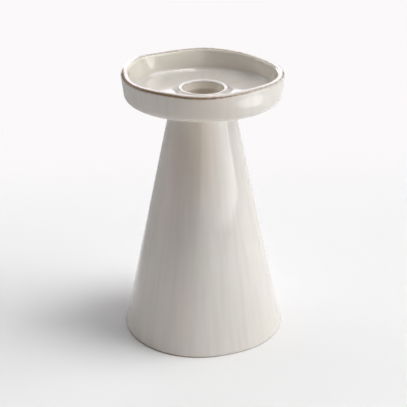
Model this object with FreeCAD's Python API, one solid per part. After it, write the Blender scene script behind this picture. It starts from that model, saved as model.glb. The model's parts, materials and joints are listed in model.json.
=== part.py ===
import FreeCAD, Part
import math
import os

# Stoneware candlestick for one taper: a hollow cone, a hand-pressed drip pan and a candle cup, joined with slip.
# Millimetres. The origin is on the table under the middle of the foot, +Z up, -Y the front.
# Angles run in degrees from +X towards +Y, so 0 is the right, 90 the back, 180 the left and 270 the front.

# Candle cup
BORE_RADIUS = 11.4  # takes a 22 mm taper
BORE_LENGTH = 19.0  # straight part of the bore
MOUTH_FLARE = 1.7  # how much wider the mouth is than the bore
FLARE_LENGTH = 3.5  # height of the flare
LIP_WALL = 1.5  # clay left round the mouth
LIP_ROUND = 1.2  # rounding of the mouth's edge
CUP_FLOOR = 3.5
CUP_CORNER = 2.0  # rounding under the cup

# Drip pan
PAN_HEIGHT = 17.5  # underside to rim
RIM_RADIUS = 52.0  # outside, at the rim
RIM_THICKNESS = 5.0
RIM_EDGE = 2.25  # rounding of the rim's two edges
PAN_FOOT_RADIUS = 50.8  # outside, just over the bottom corner
PAN_CORNER = 4.8  # rounding of the bottom corner
WALL_THICKNESS = 5.0  # at the foot of the pan's wall
PAN_FLOOR = 4.3
INNER_CORNER = 2.8  # rounding from the floor to the wall
COLLAR_HEIGHT = 2.6  # of the collar over the pan's floor
COLLAR_SLOPE = 5.3  # width of the slope from the collar down to the floor

# Stem
STEM_HEIGHT = 160.0
STEM_WALL = 4.1
FOOT_RADIUS = 53.8  # outside, at the table
FOOT_ROUND = 0.6
NECK_LEAN = 0.5  # the neck stands this far to the left
FOOT_LEAN = 0.4  # the foot stands this far to the right

# Slip and clearance
SLIP_UNDER_PAN = 1.0
SLIP_ROUND_CUP = 0.6
SLIP_BEAD = 1.2  # how far the slip under the pan is squeezed out
NECK_CLEARANCE = 0.2  # between the cup's slip and the leaning neck, where they come closest

# Where fingers pressed the soft clay: angle, half width in degrees, inwards, downwards.
# A minus sign is a place that was pulled outwards or stands up.
RIM_PRESSES = (
    (38, 19, 1.6, 0.5),
    (88, 13, -0.7, -0.5),
    (122, 10, 0.7, 0.1),
    (146, 13, -2.3, -0.4),
    (176, 13, -0.5, -1.3),
    (196, 14, 0.1, 0.6),
    (244, 16, 1.1, -0.4),
    (307, 25, 2.5, -0.5),
)
FOOT_PRESSES = (
    (236, 28, -0.8, 0.0),
    (291, 20, 1.5, 0.0),
    (336, 28, 0.5, 0.0),
)

# What follows from the sizes above
mouth_radius = BORE_RADIUS + MOUTH_FLARE
cup_radius = mouth_radius + LIP_WALL
hole_radius = cup_radius + SLIP_ROUND_CUP
neck_bore = hole_radius + NECK_CLEARANCE + abs(NECK_LEAN)
neck_radius = neck_bore + STEM_WALL
pan_z = STEM_HEIGHT + SLIP_UNDER_PAN
floor_z = pan_z + PAN_FLOOR
crest_z = floor_z + COLLAR_HEIGHT
rim_z = pan_z + PAN_HEIGHT
lip_round = min(LIP_ROUND, 0.9 * LIP_WALL)
bore_top_z = crest_z - lip_round - FLARE_LENGTH
bore_floor_z = bore_top_z - BORE_LENGTH

COLUMNS = 48  # control points round a hand-formed skin


def pressed(presses, angle):
    """How far the finger marks move the clay at an angle: inwards and downwards."""
    inwards = downwards = 0.0
    for centre, width, push, dip in presses:
        turn = (angle - centre + 180.0) % 360.0 - 180.0
        share = math.exp(-((turn / width) ** 2))
        inwards += push * share
        downwards += dip * share
    return inwards, downwards


def ease(share):
    """A smooth step from 0 to 1."""
    share = min(max(share, 0.0), 1.0)
    return share * share * (3.0 - 2.0 * share)


def skin(rows, place):
    """A smooth band round Z. rows are control points as (radius, height), and place puts one at an angle."""
    bulge = 3.0 / (2.0 + math.cos(2.0 * math.pi / COLUMNS))  # a spline runs inside its control ring
    poles = []
    for column in range(COLUMNS):
        angle = 360.0 * column / COLUMNS
        poles.append([place(angle, radius, height, bulge) for radius, height in rows])
    surface = Part.BSplineSurface()
    surface.buildFromPolesMultsKnots(
        poles,
        [1] * (COLUMNS + 1),
        [4] + [1] * (len(rows) - 4) + [4],
        list(range(COLUMNS + 1)),
        list(range(len(rows) - 2)),
        True,
        False,
        3,
        3,
    )
    return surface.toShape()


def ends(band):
    """The two closed edges of a band: the lower of its start and end first."""
    rings = [edge for edge in band.Edges if edge.isClosed()]
    return sorted(rings, key=lambda edge: (edge.BoundBox.ZMin, edge.BoundBox.XMax))


def flat(outer, inner=None):
    """A flat face inside a closed edge, less what is inside a smaller one."""
    face = Part.Face(Part.Wire(outer))
    return face.cut(Part.Face(Part.Wire(inner))).Faces[0] if inner else face


def closed_solid(faces):
    shell = Part.makeShell(faces)
    shell.sewShape()
    return Part.makeSolid(shell)


def turned(*edges):
    """The solid turned from edges that run round a half section. Points are (radius, height)."""
    face = Part.Face(Part.Wire([edge.toShape() for edge in edges]))
    return face.revolve(FreeCAD.Vector(0, 0, 0), FreeCAD.Vector(0, 0, 1), 360)


def at(radius, height):
    return FreeCAD.Vector(radius, 0, height)


def path(*points):
    """Straight edges through points."""
    return [Part.LineSegment(at(*a), at(*b)) for a, b in zip(points, points[1:])]


def corner_rows(centre, radius, start, stop, steps):
    """Control points of a rounding: an arc about centre from one angle to another."""
    step = math.radians(stop - start) / steps
    out = radius * 3.0 / (2.0 + math.cos(step))
    return [
        (
            centre[0] + out * math.cos(math.radians(start) + step * i),
            centre[1] + out * math.sin(math.radians(start) + step * i),
        )
        for i in range(steps + 1)
    ]


def pan_place(angle, radius, height, bulge):
    """The finger marks are deepest at the rim and die out at the pan's floor."""
    inwards, downwards = pressed(RIM_PRESSES, angle)
    share = ease((height - floor_z) / (rim_z - floor_z))
    reach = (radius - inwards * share) * bulge
    turn = math.radians(angle)
    return FreeCAD.Vector(reach * math.cos(turn), reach * math.sin(turn), height - downwards * share)


def stem_place(angle, radius, height, bulge):
    """The foot is pressed a little out of round, and the axis leans from the foot to the neck."""
    up = height / STEM_HEIGHT
    inwards, _ = pressed(FOOT_PRESSES, angle)
    reach = (radius - inwards * (1.0 - up)) * bulge
    turn = math.radians(angle)
    shift = FOOT_LEAN * (1.0 - up) - NECK_LEAN * up
    return FreeCAD.Vector(reach * math.cos(turn) + shift, reach * math.sin(turn), height)


def make_conical_stem():
    def outer(height):
        return FOOT_RADIUS + (neck_radius - FOOT_RADIUS) * height / STEM_HEIGHT

    def inner(height):
        return outer(height) - STEM_WALL

    side = [2.0 * FOOT_ROUND, 0.1 * STEM_HEIGHT, 0.4 * STEM_HEIGHT, 0.7 * STEM_HEIGHT, STEM_HEIGHT]
    outside = skin(
        [(outer(0) - 1.5 * FOOT_ROUND, 0), (outer(0) - 0.5 * FOOT_ROUND, 0), (outer(0), 0.6 * FOOT_ROUND)]
        + [(outer(height), height) for height in side],
        stem_place,
    )
    inside = skin(
        [(inner(0) + 1.5 * FOOT_ROUND, 0), (inner(0) + 0.5 * FOOT_ROUND, 0), (inner(0), 0.6 * FOOT_ROUND)]
        + [(inner(height), height) for height in side],
        stem_place,
    )
    (foot_out, neck_out), (foot_in, neck_in) = ends(outside), ends(inside)
    return closed_solid([outside, inside, flat(foot_out, foot_in), flat(neck_out, neck_in)])


def make_drip_pan():
    edge = min(RIM_EDGE, 0.45 * RIM_THICKNESS)
    wall_foot = PAN_FOOT_RADIUS - WALL_THICKNESS
    rows = [(PAN_FOOT_RADIUS - PAN_CORNER - 4.0, pan_z), (PAN_FOOT_RADIUS - PAN_CORNER - 2.0, pan_z)]
    rows += corner_rows((PAN_FOOT_RADIUS - PAN_CORNER, pan_z + PAN_CORNER), PAN_CORNER, -90, 0, 4)
    rows += [(0.5 * (PAN_FOOT_RADIUS + RIM_RADIUS), 0.5 * (pan_z + PAN_CORNER + rim_z - edge))]
    rows += corner_rows((RIM_RADIUS - edge, rim_z - edge), edge, 0, 90, 3)
    rows += [(RIM_RADIUS - 0.5 * RIM_THICKNESS, rim_z)]
    rows += corner_rows((RIM_RADIUS - RIM_THICKNESS + edge, rim_z - edge), edge, 90, 180, 3)
    rows += [(0.5 * (RIM_RADIUS - RIM_THICKNESS + wall_foot), 0.5 * (floor_z + INNER_CORNER + rim_z - edge))]
    rows += corner_rows((wall_foot - INNER_CORNER, floor_z + INNER_CORNER), INNER_CORNER, 0, -90, 4)
    rows += [(wall_foot - INNER_CORNER - 2.0, floor_z), (wall_foot - INNER_CORNER - 4.0, floor_z)]
    band = skin(rows, pan_place)
    under, floor = ends(band)
    pan = closed_solid([band, flat(under), flat(floor)])

    # The collar is drawn up from the floor round the hole
    foot = hole_radius + COLLAR_SLOPE
    slope = Part.BSplineCurve()
    slope.buildFromPoles(
        [
            at(foot, floor_z),
            at(foot - 0.3 * COLLAR_SLOPE, floor_z),
            at(foot - 0.6 * COLLAR_SLOPE, floor_z + 0.12 * COLLAR_HEIGHT),
            at(foot - 0.84 * COLLAR_SLOPE, floor_z + 0.74 * COLLAR_HEIGHT),
            at(hole_radius, crest_z),
        ]
    )
    collar = turned(
        slope, *path((hole_radius, crest_z), (0, crest_z), (0, pan_z), (foot, pan_z), (foot, floor_z))
    )
    hole = Part.makeCylinder(hole_radius, 2.0 * (crest_z - pan_z), at(0, pan_z - (crest_z - pan_z) / 2.0))
    return pan.fuse(collar).cut(hole).removeSplitter().Solids[0]


def make_candle_cup():
    bottom_z = bore_floor_z - CUP_FLOOR
    corner = min(CUP_CORNER, 0.9 * CUP_FLOOR, 0.9 * (cup_radius - BORE_RADIUS))
    lip_radius = mouth_radius + lip_round
    diagonal = math.sqrt(0.5)
    return turned(
        *path((0, bore_floor_z), (0, bottom_z), (cup_radius - corner, bottom_z)),
        Part.Arc(
            at(cup_radius - corner, bottom_z),
            at(cup_radius - corner + corner * diagonal, bottom_z + corner - corner * diagonal),
            at(cup_radius, bottom_z + corner),
        ),
        *path((cup_radius, bottom_z + corner), (cup_radius, crest_z), (lip_radius, crest_z)),
        Part.Arc(
            at(lip_radius, crest_z),
            at(lip_radius - lip_round * diagonal, crest_z - lip_round + lip_round * diagonal),
            at(mouth_radius, crest_z - lip_round),
        ),
        *path(
            (mouth_radius, crest_z - lip_round),
            (BORE_RADIUS, bore_top_z),
            (BORE_RADIUS, bore_floor_z),
            (0, bore_floor_z),
        ),
    )


def make_neck_slip():
    """Slip between the neck's top and the pan, squeezed out to a hollow bead."""
    bead = Part.Arc(
        at(neck_radius, STEM_HEIGHT),
        at(neck_radius + 0.25 * SLIP_BEAD, STEM_HEIGHT + 0.7 * SLIP_UNDER_PAN),
        at(neck_radius + SLIP_BEAD, pan_z),
    )
    ring = turned(
        bead,
        *path(
            (neck_radius + SLIP_BEAD, pan_z),
            (neck_bore, pan_z),
            (neck_bore, STEM_HEIGHT),
            (neck_radius, STEM_HEIGHT),
        ),
    )
    ring.translate(FreeCAD.Vector(-NECK_LEAN, 0, 0))
    return ring


def make_cup_slip():
    """Slip that fills the gap between the cup and the pan's hole."""
    height = crest_z - pan_z
    sleeve = Part.makeCylinder(hole_radius, height, at(0, pan_z))
    return sleeve.cut(Part.makeCylinder(cup_radius, height, at(0, pan_z))).Solids[0]


nodes = {
    "conical_stem": make_conical_stem(),
    "neck_slip": make_neck_slip(),
    "drip_pan": make_drip_pan(),
    "cup_slip": make_cup_slip(),
    "candle_cup": make_candle_cup(),
}
os.makedirs("parts", exist_ok=True)
for name, shape in nodes.items():
    shape.exportStep("parts/" + name + ".step")
    print(name, shape.ShapeType, "valid" if shape.isValid() else "not valid", round(shape.Volume), "mm3")
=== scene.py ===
"""A glazed stoneware candlestick on a plain pale stage."""

import json
import math
from collections import namedtuple

import bpy
import numpy as np
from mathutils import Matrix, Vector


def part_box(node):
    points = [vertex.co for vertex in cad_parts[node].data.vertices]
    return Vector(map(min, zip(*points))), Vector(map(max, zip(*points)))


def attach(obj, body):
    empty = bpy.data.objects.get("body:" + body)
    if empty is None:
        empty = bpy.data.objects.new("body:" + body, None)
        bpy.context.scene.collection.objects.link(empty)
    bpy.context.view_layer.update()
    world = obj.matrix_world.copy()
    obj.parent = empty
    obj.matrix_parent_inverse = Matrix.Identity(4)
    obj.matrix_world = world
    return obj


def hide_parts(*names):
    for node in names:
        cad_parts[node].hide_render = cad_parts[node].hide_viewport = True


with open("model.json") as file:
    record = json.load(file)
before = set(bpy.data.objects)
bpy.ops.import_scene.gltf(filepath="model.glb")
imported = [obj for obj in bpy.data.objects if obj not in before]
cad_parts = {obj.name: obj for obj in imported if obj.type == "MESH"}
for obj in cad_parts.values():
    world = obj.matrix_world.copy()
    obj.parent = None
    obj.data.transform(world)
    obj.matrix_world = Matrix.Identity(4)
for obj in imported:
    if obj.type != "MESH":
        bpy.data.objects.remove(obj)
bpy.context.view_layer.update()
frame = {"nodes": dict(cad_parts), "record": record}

MOUNTS = {mount["name"]: mount for mount in frame["record"]["mounts"]}

bl_info = {
    "name": "Stoneware Candlestick",
    "version": (1, 0, 0),
    "blender": (4, 5, 0),
    "location": "View3D > Sidebar > Candlestick",
    "description": "Builds a glazed stoneware candlestick and the pale stage it stands on",
    "category": "Object",
}

# Where fingers pressed the soft clay: angle, half width in degrees, inwards, downwards in metres.
# 0 is the right, 90 the back, 180 the left and 270 the front. A minus sign is outwards or upwards. The rim's
# depths were found by a fit to its outline, as in the solid, and the rest are given.
RIM_PRESSES = (
    (38, 19, 0.0016, 0.0005),
    (88, 13, -0.0007, -0.0005),
    (122, 10, 0.0007, 0.0001),
    (146, 13, -0.0023, -0.0004),
    (176, 13, -0.0005, -0.0013),
    (196, 14, 0.0001, 0.0006),
    (244, 16, 0.0011, -0.0004),
    (307, 25, 0.0025, -0.0005),
)
FOOT_PRESSES = (
    (236, 28, -0.0008, 0.0),
    (291, 20, 0.0015, 0.0),
    (336, 28, 0.0005, 0.0),
)
CONTROL_COLUMNS = 48

# How finely the skins are divided round the turn
STEM_COLUMNS = 384
PAN_COLUMNS = 480
CUP_COLUMNS = 256

# The camera looks down at a point on the axis through a long lens that is slid a little off the middle.
CAMERA_LIFT = 23.93  # degrees above level
CAMERA_FAR = 0.7756  # metres from the point that it looks at
CAMERA_AIM = 0.089  # height of that point in metres
LENS_LENGTH = 103.3  # mm
SENSOR_WIDTH = 36.0  # mm
LENS_SHIFT = (0.0011, -0.0081)  # sideways and upwards, in widths of the sensor


def length(name, description, default):
    return bpy.props.FloatProperty(
        name=name, description=description, default=default, min=0.0, unit="LENGTH", precision=5
    )


def colour(name, description, default):
    return bpy.props.FloatVectorProperty(
        name=name, description=description, default=default, size=3, min=0.0, max=1.0, subtype="COLOR"
    )


def share(name, description, default, top=1.0):
    return bpy.props.FloatProperty(name=name, description=description, default=default, min=0.0, max=top)


def watts(name, description, default):
    return share(name, description, default, top=1000.0)


class StemSizes(bpy.types.PropertyGroup):
    """Sizes of the hollow cone that the pan stands on."""

    height: length("Height", "From the table to the neck's top face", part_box("conical_stem")[1][2])
    foot_radius: length("Foot radius", "Outside, at the table", 0.05366)
    neck_radius: length("Neck radius", "Outside, under the pan", 0.02)
    wall: length("Wall", "Thickness of the clay", 0.0041)
    foot_round: length("Foot rounding", "Rounding of the foot's two edges", 0.0006)
    neck_lean: length("Neck lean", "How far the neck stands to the left", 0.0005)
    foot_lean: length("Foot lean", "How far the foot stands to the right", 0.0004)
    waves: length("Waves", "Depth of the soft waves that hands left in the side", 0.00022)
    bare_height: length("Bare foot", "How far up the glaze was wiped off the foot", 0.0011)


class PanSizes(bpy.types.PropertyGroup):
    """Sizes of the drip pan."""

    floor_height: length("Floor height", "From the table to the pan's floor", MOUNTS["pan_floor"]["pos_m"][2])
    floor: length("Floor", "Thickness of the pan's floor", 0.0043)
    height: length("Height", "From the underside to the rim", 0.0175)
    rim_radius: length("Rim radius", "Outside, at the rim", 0.052)
    rim_thickness: length("Rim thickness", "Width of the rim's flat top", 0.005)
    rim_edge: length("Rim edge", "Rounding of the rim's two edges", 0.00225)
    foot_radius: length("Lower radius", "Outside, just over the bottom corner", 0.0508)
    corner: length("Corner", "Rounding of the bottom corner", 0.0048)
    wall: length("Wall", "Thickness at the foot of the wall", 0.005)
    inner_corner: length("Inner corner", "Rounding from the floor to the wall", 0.0028)
    collar_height: length("Collar height", "Of the collar over the pan's floor", 0.0026)
    collar_slope: length("Collar slope", "Width of the slope round the collar", 0.0053)
    hole_radius: length("Hole radius", "Of the hole that the cup and its slip fill", 0.0152)
    waves: length("Waves", "Depth of the soft waves that hands left in the wall", 0.00016)


class CupSizes(bpy.types.PropertyGroup):
    """Sizes of the cup that holds the taper."""

    bore_radius: length("Bore radius", "Takes a 22 mm taper", MOUNTS["taper_bore"]["dims"]["r_mm"] / 1000)
    bore_length: length("Bore length", "Of the straight bore", MOUNTS["taper_bore"]["dims"]["length_mm"] / 1000)
    bore_middle: length("Bore middle", "Height of the bore's middle", MOUNTS["taper_bore"]["pos_m"][2])
    mouth_flare: length("Mouth flare", "How much wider the mouth is than the bore", 0.0017)
    flare_length: length("Flare length", "Height of the flare", 0.0035)
    lip_wall: length("Lip wall", "Clay left round the mouth", 0.0015)
    lip_round: length("Lip rounding", "Rounding of the mouth's edge", 0.0012)
    floor: length("Floor", "Thickness under the bore", 0.0035)
    corner: length("Corner", "Rounding under the cup", 0.002)


class GlazeLook(bpy.types.PropertyGroup):
    """Colours and gloss of the glaze and the bare clay, with a pale and a pink colour that are painted light."""

    cream: colour("Cream", "The glaze where it lies thick", (0.71, 0.678, 0.635))
    # Painted light: this pale colour is laid up the inside wall of the pan, lighter than its lamps make it, and
    # deep in the cup's mouth.
    pale_and_painted_light: colour("Milky", "Where it gathered thickest, up the inside of the pan", (0.84, 0.802, 0.71))
    dusky: colour("Dusky", "Upright streaks where it ran down", (0.63, 0.585, 0.53))
    celadon: colour("Celadon", "Soft clouds that lean to green", (0.665, 0.652, 0.585))
    # Painted light: this pink is a cast of light, laid on the left of the front and inside the pan at the back
    # right.
    painted_pink: colour("Rosy", "Where the kiln's flame turned it pink", (0.735, 0.632, 0.585))
    # Tan, a little darker than the cream, laid at the front under the pan and deep in the cup's mouth.
    toasted: colour("Toasted", "Where the kiln's flame turned it tan", (0.7, 0.59, 0.485))
    brown: colour("Brown", "Thin glaze over an edge, where the clay shows through", (0.25, 0.155, 0.095))
    clay: colour("Clay", "Bare fired clay", (0.34, 0.26, 0.165))
    roughness: share("Roughness", "Of the glaze's body", 0.16)
    streaks: share("Streaks", "How much the upright streaks show", 0.45)
    clouds: share("Clouds", "How much the soft clouds show", 0.4)


class StageLook(bpy.types.PropertyGroup):
    """The floor, lamps and camera."""

    floor: colour("Floor", "Colour of the floor", (0.9, 0.9, 0.9))
    backdrop: colour("Backdrop", "What the camera sees of the floor far behind", (0.965, 0.945, 0.95))
    room: colour("Room", "What the glaze sees at the left behind", (0.35, 0.34, 0.34))
    sky_strength: share("Sky strength", "Strength of the light from all round", 0.0, 10.0)
    key_power: watts("Key power", "Power of the main lamp high at the right, in watts", 29.8)
    top_power: watts("Top power", "Power of the lamp overhead, in watts", 22.3)
    right_power: watts("Right power", "Power of the low lamp at the right, in watts", 5.5)
    panel_power: watts("Panel power", "Power of the panel that stands at the front right, in watts", 2.25)
    left_power: watts("Left power", "Power of the weak lamp high at the left, in watts", 1.1)
    rear_power: watts("Rear power", "Power of the weak lamp at the rear left, in watts", 2.0)
    back_power: watts("Back power", "Power of the low lamp behind, in watts", 1.1)
    front_power: watts("Front power", "Power of the weak low lamp in front, in watts", 4.2)
    window_power: watts("Window power", "Power of the faint violet panel behind, in watts", 1.1)


Lamp = namedtuple("Lamp", "turn lift far wide high slide spread blue", defaults=(0.0, 180, 0.0))

# The lamps by the property that holds their power. turn and lift are degrees round and above LAMP_AIM, a height
# on the axis that every lamp faces. far, wide, high and slide, which is to its own right, are metres. spread is
# degrees, and blue is how far its light leans to blue, from 0 to 1.
LAMP_AIM = 0.09
LAMPS = {
    "key_power": Lamp(turn=4, lift=46, far=2.6, wide=1.6, high=1.5),
    "top_power": Lamp(turn=0, lift=75, far=2.6, wide=0.87, high=0.87),
    "right_power": Lamp(turn=342, lift=13, far=2.6, wide=2.2, high=1.2),
    "panel_power": Lamp(turn=349, lift=7.2, far=0.76, wide=1.6, high=0.33, slide=-0.7, spread=125),
    "left_power": Lamp(turn=190, lift=58, far=0.9, wide=0.7, high=0.7),
    "rear_power": Lamp(turn=150, lift=34, far=1.1, wide=0.7, high=0.6),
    "back_power": Lamp(turn=110, lift=10, far=0.9, wide=0.4, high=0.3),
    "front_power": Lamp(turn=285, lift=8, far=2.6, wide=1.5, high=0.87),
    "window_power": Lamp(turn=92, lift=25, far=1.2, wide=0.8, high=0.32, blue=0.22),
}


def ease(part):
    """A smooth step: 3 t squared less 2 t cubed, of t held between 0 and 1."""
    part = np.clip(part, 0.0, 1.0)
    return part * part * (3.0 - 2.0 * part)


def finger_marks(presses, angles):
    """Inwards and downwards push at each angle, in degrees.

    Each press is a bell, exp(-(turn / width) squared). The sum is taken at evenly spaced control columns and
    run through them as a uniform cubic spline, as in the solid.
    """
    columns = np.arange(CONTROL_COLUMNS) * 360.0 / CONTROL_COLUMNS
    sums = np.zeros((2, CONTROL_COLUMNS))
    for centre, width, push, dip in presses:
        turn = (columns - centre + 180.0) % 360.0 - 180.0
        bell = np.exp(-((turn / width) ** 2))
        sums += np.array([[push], [dip]]) * bell
    place = np.asarray(angles) * CONTROL_COLUMNS / 360.0
    first = np.floor(place).astype(int)
    t = place - first
    weights = (
        (1.0 - t) ** 3 / 6.0,
        (3.0 * t**3 - 6.0 * t**2 + 4.0) / 6.0,
        (-3.0 * t**3 + 3.0 * t**2 + 3.0 * t + 1.0) / 6.0,
        t**3 / 6.0,
    )
    return sum(sums[:, (first + step) % CONTROL_COLUMNS] * weight for step, weight in zip((-1, 0, 1, 2), weights))


def waves(angle, height, swell):
    """Soft unevenness from 0 to 1: a few sines of the turn angle, each slowly wound up the height."""
    swing = (
        0.34 * np.sin(2.0 * angle + 1.3 + 11.0 * height)
        + 0.26 * np.sin(3.0 * angle + 4.0 - 23.0 * height)
        + 0.22 * np.sin(5.0 * angle + 0.4 + 31.0 * height)
        + 0.18 * np.sin(8.0 * angle + 2.2 - 17.0 * height)
    )
    return swell * (0.5 + 0.5 * swing)


def bell(value, centre, width):
    """1 at the centre, falling as exp(-(distance / width) squared)."""
    return np.exp(-(((value - centre) / width) ** 2))


def front_tints(angle, height):
    """Tints at the front: pink on the left of it, which is painted light, and tan in the middle under the pan."""
    turn = np.degrees(angle)
    # Painted light: the pink is a cast of light on the front left, strongest just under the pan, with a small patch
    # by the foot.
    painted_pink = 0.78 * bell(turn, centre=230.0, width=31.0) * (0.3 + 0.7 * bell(height, centre=0.118, width=0.032))
    painted_pink = painted_pink + 0.4 * bell(turn, centre=254.0, width=9.0) * bell(height, centre=0.03, width=0.03)
    toasted = 0.6 * bell(turn, centre=268.0, width=25.0) * ease((height - 0.088) / 0.045)
    return {"rosy_glaze": painted_pink, "toasted_glaze": toasted}


def run(start, stop, steps):
    """Points on a straight line, the first left out."""
    part = np.arange(1, steps + 1)[:, None] / steps
    return np.array(start) * (1.0 - part) + np.array(stop) * part


def bend(centre, radius, start, stop, steps):
    """Points on an arc about centre between two angles in degrees, the first left out."""
    turn = np.radians(start + (stop - start) * np.arange(1, steps + 1) / steps)
    return np.array(centre) + radius * np.stack([np.cos(turn), np.sin(turn)], axis=1)


def bezier(poles, steps):
    """Points on a cubic Bezier curve, the first left out: Bernstein sums of its four poles."""
    t = np.arange(1, steps + 1)[:, None] / steps
    return sum(math.comb(3, i) * t**i * (1.0 - t) ** (3 - i) * np.array(pole) for i, pole in enumerate(poles))


def fair(poles, steps):
    """Points on the cubic spline of five poles with one knot in its middle, as two Bezier runs of equal steps.

    The runs meet halfway between the middles of the two inner legs of the poles.
    """
    a, b, c, d, e = np.array(poles)
    before, after = 0.5 * (b + c), 0.5 * (c + d)
    meet = 0.5 * (before + after)
    return np.concatenate([bezier((a, b, before, meet), steps), bezier((meet, after, d, e), steps)])


def add_piece(name, points, faces, marks, material):
    """A shaded mesh object at the origin, with its named point attributes, riding on the one body."""
    mesh = bpy.data.meshes.new(name)
    mesh.from_pydata(points.reshape(-1, 3).tolist(), [], faces)
    for mark, values in marks.items():
        mesh.attributes.new(mark, "FLOAT", "POINT").data.foreach_set("value", values.astype(np.float32).ravel())
    mesh.polygons.foreach_set("use_smooth", np.ones(len(mesh.polygons), dtype=bool))
    mesh.materials.append(material)
    mesh.update()
    piece = bpy.data.objects.new(name, mesh)
    bpy.context.scene.collection.objects.link(piece)
    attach(piece, "root")
    return piece


def ring_faces(rows, columns, closed):
    """Quads between neighbouring rings of a grid, round the turn, and from the last ring to the first if closed."""
    row = np.arange(rows if closed else rows - 1)[:, None]
    column = np.arange(columns)[None, :]
    after = (row + 1) % rows
    beside = (column + 1) % columns
    corners = np.stack(
        [
            row * columns + column,
            row * columns + beside,
            after * columns + beside,
            after * columns + column,
        ],
        axis=-1,
    )
    return corners.reshape(-1, 4).tolist()


def turn_angles(columns):
    return np.arange(columns) * 2.0 * math.pi / columns


class Socket:
    """An output of a shader node. + - * / and ** with it add Math nodes."""

    def __init__(self, shader, output):
        self.shader = shader
        self.output = output

    def math(self, operation, first, second):
        return self.shader.node("ShaderNodeMath", {"operation": operation}, {0: first, 1: second})

    def __add__(self, other):
        return self.math("ADD", self, other)

    def __radd__(self, other):
        return self.math("ADD", other, self)

    def __sub__(self, other):
        return self.math("SUBTRACT", self, other)

    def __rsub__(self, other):
        return self.math("SUBTRACT", other, self)

    def __mul__(self, other):
        return self.math("MULTIPLY", self, other)

    def __rmul__(self, other):
        return self.math("MULTIPLY", other, self)

    def __truediv__(self, other):
        return self.math("DIVIDE", self, other)

    def __pow__(self, other):
        return self.math("POWER", self, other)


class Shader:
    """A material's node tree, built up from its inputs to its surface."""

    def __init__(self, name):
        self.material = bpy.data.materials.new(name)
        self.material.use_nodes = True
        self.tree = self.material.node_tree
        self.tree.nodes.clear()

    def node(self, kind, settings=None, values=None, output=0):
        """Adds a node, applies its settings, fills or links its sockets and gives one of its outputs."""
        made = self.tree.nodes.new(kind)
        for setting, value in (settings or {}).items():
            setattr(made, setting, value)
        for key, value in (values or {}).items():
            if isinstance(value, Socket):
                self.tree.links.new(value.output, made.inputs[key])
            else:
                made.inputs[key].default_value = value
        return Socket(self, made.outputs[output]) if len(made.outputs) else None

    def blend(self, factor, first, second):
        """A colour between two colours."""
        return self.node("ShaderNodeMix", {"data_type": "RGBA"}, {0: factor, 6: first, 7: second}, 2)

    def between(self, value, low, high):
        """A smooth 0 to 1 as value goes from low to high."""
        return self.node(
            "ShaderNodeMapRange", {"interpolation_type": "SMOOTHSTEP"}, {0: value, 1: low, 2: high}
        )

    def noise(self, vector, scale, detail=2.0):
        return self.node(
            "ShaderNodeTexNoise", {"noise_dimensions": "3D"}, {"Vector": vector, "Scale": scale, "Detail": detail}
        )

    def mark(self, name):
        """A point attribute's value, 0 on a mesh without it."""
        return self.node("ShaderNodeAttribute", {"attribute_name": name}, output="Fac")

    def surface(self, shader_socket):
        self.node("ShaderNodeOutputMaterial", values={"Surface": shader_socket})
        return self.material


def rgba(three):
    return (*three, 1.0)


def glaze(name):
    """Glossy off-white glaze with upright streaks and soft clouds.

    It turns paler by the mark milky_glaze, which is painted light, pink by the mark rosy_glaze, which is a
    painted cast of light, and tan by the mark toasted_glaze; brown where the mark thin_glaze says that it has
    run thin, and gives way to bare clay where the mark bare_clay says so.
    """
    look = bpy.context.scene.candlestick_glaze
    paint = Shader(name)
    where = paint.node("ShaderNodeTexCoord", output="Object")
    x, y, z = (paint.node("ShaderNodeSeparateXYZ", values={0: where}, output=i) for i in range(3))
    reach = paint.node("ShaderNodeMath", {"operation": "SQRT"}, {0: x * x + y * y + 1e-8})
    upright = paint.node("ShaderNodeCombineXYZ", values={0: x / reach, 1: y / reach, 2: z * 1.5})
    streak = paint.between(paint.noise(upright, scale=13.0, detail=5.0), 0.4, 0.66)
    cloud = paint.between(paint.noise(where, scale=30.0), 0.42, 0.66)
    drift = 0.55 + 0.9 * paint.noise(upright, scale=4.0, detail=3.0)
    body = paint.blend(streak * look.streaks, rgba(look.cream), rgba(look.dusky))
    body = paint.blend(cloud * look.clouds, body, rgba(look.celadon))
    # Painted light: paler up the inside wall of the pan; also paler deep in the cup's mouth
    body = paint.blend(paint.mark("milky_glaze"), body, rgba(look.pale_and_painted_light))
    # Painted light: a pink cast of light where the mark says
    body = paint.blend(paint.mark("rosy_glaze") * drift, body, rgba(look.painted_pink))
    body = paint.blend(paint.mark("toasted_glaze") * drift, body, rgba(look.toasted))

    flicker = paint.noise(where, scale=420.0, detail=3.0)
    thin = paint.between(paint.mark("thin_glaze") + 0.5 * flicker - 0.25, 0.25, 0.85)
    dull = paint.between(paint.mark("thin_glaze"), 0.1, 0.45)
    body = paint.blend(thin, body, rgba(look.brown))
    bare = paint.between(paint.mark("bare_clay") + 0.3 * flicker - 0.15, 0.42, 0.58)
    grain = paint.noise(where, scale=2600.0, detail=3.0)
    dark_clay, light_clay = (rgba(tone * part for part in look.clay) for tone in (0.8, 1.2))
    clay = paint.blend(grain, dark_clay, light_clay)
    body = paint.blend(bare, body, clay)

    rough = look.roughness + 0.06 * flicker
    rough = rough + bare * (0.85 - rough)
    peel = paint.noise(where, scale=260.0)
    swell = paint.noise(where, scale=42.0, detail=1.0)
    height = (0.25 * peel + 1.3 * swell) * (1.0 - bare) + grain * bare
    normal = paint.node("ShaderNodeBump", values={"Strength": 0.35, "Distance": 0.0002, "Height": height})
    return paint.surface(
        paint.node(
            "ShaderNodeBsdfPrincipled",
            values={
                "Base Color": body,
                "Roughness": rough,
                "Normal": normal,
                "IOR": 1.5,
                "Specular IOR Level": 0.2,
                "Coat Weight": (1.0 - bare) * (1.0 - 0.85 * dull),
                "Coat Roughness": 0.06,
            },
        )
    )


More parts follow.
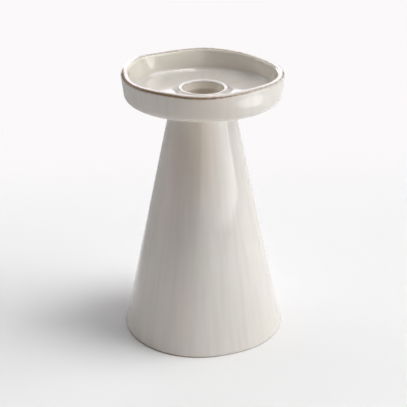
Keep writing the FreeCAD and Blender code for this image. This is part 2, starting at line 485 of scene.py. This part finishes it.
def pan_heights(context):
    """Heights of the pan's underside, its floor, the collar's crest and the rim."""
    pan = context.scene.candlestick_pan
    floor_z = pan.floor_height
    return floor_z - pan.floor, floor_z, floor_z + pan.collar_height, floor_z - pan.floor + pan.height


class CANDLESTICK_OT_stem(bpy.types.Operator):
    """Build the hollow, flared stem"""

    bl_idname = "candlestick.stem"
    bl_label = "Stem"

    def execute(self, context):
        """The side runs straight from foot to neck: radius = foot + (neck - foot) * height / whole height.

        The foot's presses and its lean fade out up to the neck, and the neck leans the other way.
        """
        sizes = context.scene.candlestick_stem
        tall, round_off = sizes.height, sizes.foot_round
        slope = (sizes.neck_radius - sizes.foot_radius) / tall

        def side(height, inwards=0.0):
            return sizes.foot_radius - inwards + slope * height, height

        foot_out, foot_in = side(0.0)[0], side(0.0, sizes.wall)[0]
        middle = sizes.foot_radius - 0.5 * sizes.wall
        profile = np.concatenate(
            [
                run((middle, 0.0), (foot_out - round_off, 0.0), 4),
                bend((foot_out - round_off, round_off), round_off, -90, 0, 7),
                run(side(round_off), side(tall), 110),
                run(side(tall), side(tall, sizes.wall), 5),
                run(side(tall, sizes.wall), side(round_off, sizes.wall), 40),
                bend((foot_in + round_off, round_off), round_off, 180, 270, 5),
                run((foot_in + round_off, 0.0), (middle, 0.0), 4),
            ]
        )
        angle = turn_angles(STEM_COLUMNS)[None, :]
        radius, height = profile[:, :1], profile[:, 1:]
        up = height / tall
        inwards, _ = finger_marks(FOOT_PRESSES, np.degrees(angle[0]))
        reach = radius - inwards[None, :] * (1.0 - up)
        outer = radius > sizes.foot_radius - 0.6 * sizes.wall + slope * height
        fade = ease(height / 0.012) * ease((tall - height) / 0.012)
        reach = reach - np.where(outer, waves(angle, height, sizes.waves) * fade, 0.0)
        lean = sizes.foot_lean * (1.0 - up) - sizes.neck_lean * up
        points = np.stack(
            [reach * np.cos(angle) + lean, reach * np.sin(angle), height + 0.0 * angle], axis=-1
        )
        wiped = sizes.bare_height * (0.75 - 0.35 * np.cos(angle + 0.6))
        bare = np.where(outer, 1.0 - 0.5 * height / wiped, 1.0)
        marks = {"bare_clay": np.clip(bare, 0.0, 1.0), **front_tints(angle, height)}
        faces = ring_faces(len(profile), angle.size, closed=True)
        piece = add_piece("stem_glazed", points, faces, marks, glaze("stem glaze"))
        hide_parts("conical_stem")
        return {"FINISHED"}


class CANDLESTICK_OT_pan(bpy.types.Operator):
    """Build the drip pan with its hand-pressed rim"""

    bl_idname = "candlestick.pan"
    bl_label = "Drip pan"

    def execute(self, context):
        """A profile of lines and arcs is turned; the finger marks push the wall in and down.

        A push fades with height as a smooth step from the floor to the rim.
        """
        sizes = context.scene.candlestick_pan
        under_z, floor_z, crest_z, rim_z = pan_heights(context)
        edge, corner, inner = sizes.rim_edge, sizes.corner, sizes.inner_corner
        rim, thick = sizes.rim_radius, sizes.rim_thickness
        wall_foot = sizes.foot_radius - sizes.wall
        slope_foot = sizes.hole_radius + sizes.collar_slope
        rise = crest_z - floor_z
        top_steps = 8
        parts = [
            run((sizes.hole_radius, under_z), (sizes.foot_radius - corner, under_z), 14),
            bend((sizes.foot_radius - corner, under_z + corner), corner, -90, 0, 12),
            run((sizes.foot_radius, under_z + corner), (rim, rim_z - edge), 26),
            bend((rim - edge, rim_z - edge), edge, 0, 90, 9),
            run((rim - edge, rim_z), (rim - thick + edge, rim_z), top_steps),
            bend((rim - thick + edge, rim_z - edge), edge, 90, 180, 9),
            run((rim - thick, rim_z - edge), (wall_foot, floor_z + inner), 22),
            bend((wall_foot - inner, floor_z + inner), inner, 0, -90, 10),
            run((wall_foot - inner, floor_z), (slope_foot, floor_z), 20),
            fair(
                [
                    (slope_foot, floor_z),
                    (slope_foot - 0.3 * sizes.collar_slope, floor_z),
                    (slope_foot - 0.6 * sizes.collar_slope, floor_z + 0.12 * rise),
                    (slope_foot - 0.84 * sizes.collar_slope, floor_z + 0.74 * rise),
                    (sizes.hole_radius, crest_z),
                ],
                10,
            ),
            run((sizes.hole_radius, crest_z), (sizes.hole_radius, under_z), 4),
        ]
        profile = np.concatenate(parts)
        top_middle = sum(len(part) for part in parts[:4]) + top_steps // 2 - 1
        angle = turn_angles(PAN_COLUMNS)[None, :]
        radius, height = profile[:, :1], profile[:, 1:]
        inwards, downwards = finger_marks(RIM_PRESSES, np.degrees(angle[0]))
        part = ease((height - floor_z) / (rim_z - floor_z))
        reach = radius - inwards[None, :] * part
        wall = ease((radius - 0.8 * wall_foot) / (0.1 * wall_foot)) * ease((height - under_z) / corner)
        reach = reach - waves(angle, 3.0 * height, sizes.waves) * wall * (1.0 - 0.6 * part)
        top = height - downwards[None, :] * part
        points = np.stack([reach * np.cos(angle), reach * np.sin(angle), top], axis=-1)

        # The glaze runs thin over the rim, along an outer line that wanders to the crest at the back and along
        # a fainter inner one. along is the way round the profile from the middle of the rim's top.
        step = np.hypot(*np.diff(profile, axis=0, append=profile[:1]).T)
        along = np.concatenate([[0.0], np.cumsum(step)[:-1]])[:, None]
        along = along - along[top_middle]
        behind = np.clip(np.sin(angle), 0.0, 1.0)
        strength = 0.75 + 0.3 * np.cos(angle - 3.4) + 0.25 * bell(np.degrees(angle), 357.0, 9.0) - 0.2 * behind
        outer_line = strength * bell(along, -0.0014 + 0.001 * np.sin(angle), 0.0011 + 0.0005 * behind)
        inner_line = 0.45 * bell(along, 0.0016 - 0.0003 * np.sin(angle), 0.0007)
        thin = np.clip(outer_line + inner_line, 0.0, 1.0)
        faces = ring_faces(len(profile), angle.size, closed=True)
        outside = (radius > wall_foot + 0.6 * sizes.wall) & (along < 0.0)
        inside = ease((height - floor_z) / 0.0005) * (along > 0.0) * (radius > slope_foot)
        marks = {mark: 0.7 * values * outside for mark, values in front_tints(angle, height).items()}
        # Painted light: a pink cast of light inside the pan at the back right
        marks["rosy_glaze"] = marks["rosy_glaze"] + 0.35 * inside * bell(np.degrees(angle), 60.0, 35.0)
        # Painted light: the inside wall is made paler all round, in place of light that the lamps don't bring
        marks["milky_glaze"] = 0.9 * inside * ease((height - floor_z) / sizes.inner_corner) + 0.0 * angle
        marks["thin_glaze"] = thin
        piece = add_piece("pan_glazed", points, faces, marks, glaze("pan glaze"))
        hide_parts("drip_pan")
        return {"FINISHED"}


class CANDLESTICK_OT_cup(bpy.types.Operator):
    """Build the cup that holds the taper"""

    bl_idname = "candlestick.cup"
    bl_label = "Candle cup"

    def execute(self, context):
        """A profile of lines and arcs is turned about the bore's axis and closed by a point at each end."""
        sizes = context.scene.candlestick_cup
        _, _, crest_z, _ = pan_heights(context)
        bore, low = sizes.bore_radius, sizes.bore_middle - 0.5 * sizes.bore_length
        bore_top = sizes.bore_middle + 0.5 * sizes.bore_length
        mouth = bore + sizes.mouth_flare
        outer = mouth + sizes.lip_wall
        bottom = low - sizes.floor
        lip, corner = sizes.lip_round, sizes.corner
        profile = np.concatenate(
            [
                run((0.0, bottom), (outer - corner, bottom), 8)[:-1],
                bend((outer - corner, bottom + corner), corner, -90, 0, 8),
                run((outer, bottom + corner), (outer, crest_z), 8),
                run((outer, crest_z), (mouth + lip, crest_z), 3),
                bend((mouth + lip, crest_z - lip), lip, 90, 180, 10),
                run((mouth, crest_z - lip), (bore, bore_top), 8),
                run((bore, bore_top), (bore, low), 14),
                run((bore, low), (0.0, low), 9)[:-1],
            ]
        )
        angle = turn_angles(CUP_COLUMNS)[None, :]
        radius, height = profile[:, :1], profile[:, 1:]
        points = np.stack(
            [radius * np.cos(angle), radius * np.sin(angle), height + 0.0 * angle], axis=-1
        ).reshape(-1, 3)
        rows, columns = len(profile), angle.size
        points = np.concatenate([points, [[0.0, 0.0, bottom], [0.0, 0.0, low]]])
        faces = ring_faces(rows, columns, closed=False)
        around = np.arange(columns)
        beside = (around + 1) % columns
        last = (rows - 1) * columns
        faces += np.stack([beside, around, np.full(columns, rows * columns)], axis=1).tolist()
        faces += np.stack([last + around, last + beside, np.full(columns, rows * columns + 1)], axis=1).tolist()
        bare = np.clip((crest_z - 0.004 - points[:, 2]) / 0.001, 0.0, 1.0)
        inside = np.hypot(points[:, 0], points[:, 1]) < mouth + 0.5 * lip
        deep = inside * ease((crest_z - points[:, 2]) / 0.002)
        # Deep in the mouth it is made paler and tan
        marks = {"bare_clay": bare * ~inside, "milky_glaze": 0.7 * deep, "toasted_glaze": 0.4 * deep}
        piece = add_piece("cup_glazed", points, faces, marks, glaze("cup glaze"))
        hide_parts("candle_cup")
        return {"FINISHED"}


class CANDLESTICK_OT_slip(bpy.types.Operator):
    """Glaze over the slip that joins the clay members"""

    bl_idname = "candlestick.slip"
    bl_label = "Slip joints"

    def execute(self, context):
        """Each slip ring keeps its own shape and takes the glaze as its material."""
        coat = glaze("slip glaze")
        for node in ("neck_slip", "cup_slip"):
            slots = frame["nodes"][node].data.materials
            for place in range(len(slots)):
                slots[place] = coat
        return {"FINISHED"}


class CANDLESTICK_OT_stage(bpy.types.Operator):
    """Lay the floor and set the lamps, the world and the camera"""

    bl_idname = "candlestick.stage"
    bl_label = "Stage"

    def execute(self, context):
        scene = context.scene
        look = scene.candlestick_stage
        scene.view_settings.view_transform = "Standard"

        # A sheet of pale paper that lies flat and sweeps up behind, in metres
        side, front, back, sweep, top = 6.0, -4.0, 1.8, 0.4, 2.5
        profile = np.concatenate(
            [
                [(front, 0.0)],
                run((front, 0.0), (back - sweep, 0.0), 1),
                bend((back - sweep, sweep), sweep, -90, 0, 16),
                run((back, sweep), (back, top), 1),
            ]
        )
        across = np.array([-side, side])
        depth, height = profile[:, :1], profile[:, 1:]
        points = np.stack([across + 0.0 * depth, depth + 0.0 * across, height + 0.0 * across], axis=-1)
        first = 2 * np.arange(len(profile) - 1)
        faces = np.stack([first, first + 1, first + 3, first + 2], axis=1)
        mesh = bpy.data.meshes.new("paper")
        mesh.from_pydata(points.reshape(-1, 3).tolist(), [], faces.tolist())
        mesh.materials.append(pale_paper(look))
        paper = bpy.data.objects.new("paper", mesh)
        scene.collection.objects.link(paper)

        world = bpy.data.worlds.new("soft sky")
        world.use_nodes = True
        background = world.node_tree.nodes["Background"]
        background.inputs["Color"].default_value = (1.0, 1.0, 1.0, 1.0)
        background.inputs["Strength"].default_value = look.sky_strength
        scene.world = world

        for power, lamp in LAMPS.items():
            add_lamp(power.removesuffix("_power"), getattr(look, power), lamp)

        lens = bpy.data.cameras.new("camera")
        lens.lens = LENS_LENGTH
        lens.sensor_width = SENSOR_WIDTH
        lens.shift_x, lens.shift_y = LENS_SHIFT
        camera = bpy.data.objects.new("camera", lens)
        scene.collection.objects.link(camera)
        lift = math.radians(CAMERA_LIFT)
        camera.location = (0.0, -CAMERA_FAR * math.cos(lift), CAMERA_AIM + CAMERA_FAR * math.sin(lift))
        camera.rotation_euler = (math.pi / 2 - lift, 0.0, 0.0)
        scene.camera = camera
        return {"FINISHED"}


def pale_paper(look):
    """Matt and pale.

    The camera sees it behind the candlestick and far off as an even white backdrop. The glaze sees it white
    straight behind and dim at the left, as in a room with one bright wall.
    """
    paint = Shader("pale paper")
    where = paint.node("ShaderNodeTexCoord", output="Object")
    across, depth = (paint.node("ShaderNodeSeparateXYZ", values={0: where}, output=i) for i in range(2))
    straight_behind = 1.0 - paint.between(across * across, 0.08, 0.5)
    camera_ray = paint.node("ShaderNodeLightPath", output="Is Camera Ray")
    glossy_ray = paint.node("ShaderNodeLightPath", output="Is Glossy Ray")
    far_off = paint.between(across * across + depth * depth, 0.1, 0.4)
    seen = far_off + paint.between(depth, 0.1, 0.36) * (1.0 - far_off)
    white = camera_ray * seen + glossy_ray * straight_behind * paint.between(depth, 0.4, 0.7)
    dim = glossy_ray * paint.between(-1.0 * across, 0.05, 0.17) * paint.between(depth, -0.05, 0.12)
    matt = paint.node("ShaderNodeBsdfDiffuse", values={"Color": rgba(look.floor)})
    room = paint.node("ShaderNodeEmission", values={"Color": rgba(look.room), "Strength": 1.0})
    even = paint.node("ShaderNodeEmission", values={"Color": rgba(look.backdrop), "Strength": 1.0})
    matt = paint.node("ShaderNodeMixShader", values={0: dim, 1: matt, 2: room})
    return paint.surface(paint.node("ShaderNodeMixShader", values={0: white, 1: matt, 2: even}))


def add_lamp(name, power, plan):
    """A rectangular lamp, turned and lifted round the candlestick's middle, facing it and then slid sideways."""
    lamp = bpy.data.lights.new(name, "AREA")
    lamp.shape = "RECTANGLE"
    lamp.size, lamp.size_y = plan.wide, plan.high
    lamp.energy = power
    lamp.color = (1.0 - 0.4 * plan.blue, 1.0 - plan.blue, 1.0)
    lamp.spread = math.radians(plan.spread)
    holder = bpy.data.objects.new(name, lamp)
    bpy.context.scene.collection.objects.link(holder)
    turn, lift = math.radians(plan.turn), math.radians(plan.lift)
    flat = plan.far * math.cos(lift)
    holder.location = (
        flat * math.cos(turn) - plan.slide * math.sin(turn),
        flat * math.sin(turn) + plan.slide * math.cos(turn),
        LAMP_AIM + plan.far * math.sin(lift),
    )
    holder.rotation_euler = (math.pi / 2 - lift, 0.0, turn + math.pi / 2)


class CANDLESTICK_PT_panel(bpy.types.Panel):
    """Sizes, colours and building steps of the candlestick"""

    bl_idname = "CANDLESTICK_PT_panel"
    bl_label = "Stoneware Candlestick"
    bl_space_type = "VIEW_3D"
    bl_region_type = "UI"
    bl_category = "Candlestick"

    def draw(self, context):
        for step in STEPS:
            self.layout.operator(step.bl_idname)
        for group in GROUPS:
            box = self.layout.box()
            box.label(text=group)
            for name in GROUPS[group].__annotations__:
                box.prop(getattr(context.scene, group), name)


GROUPS = {
    "candlestick_stem": StemSizes,
    "candlestick_pan": PanSizes,
    "candlestick_cup": CupSizes,
    "candlestick_glaze": GlazeLook,
    "candlestick_stage": StageLook,
}
STEPS = (CANDLESTICK_OT_stem, CANDLESTICK_OT_pan, CANDLESTICK_OT_cup, CANDLESTICK_OT_slip, CANDLESTICK_OT_stage)


def register():
    for group, kind in GROUPS.items():
        bpy.utils.register_class(kind)
        setattr(bpy.types.Scene, group, bpy.props.PointerProperty(type=kind))
    for kind in (*STEPS, CANDLESTICK_PT_panel):
        bpy.utils.register_class(kind)


def unregister():
    for kind in (CANDLESTICK_PT_panel, *reversed(STEPS)):
        bpy.utils.unregister_class(kind)
    for group, kind in reversed(GROUPS.items()):
        delattr(bpy.types.Scene, group)
        bpy.utils.unregister_class(kind)


def main():
    register()
    bpy.ops.candlestick.stem()
    bpy.ops.candlestick.pan()
    bpy.ops.candlestick.cup()
    bpy.ops.candlestick.slip()
    bpy.ops.candlestick.stage()


if __name__ == "__main__":
    main()
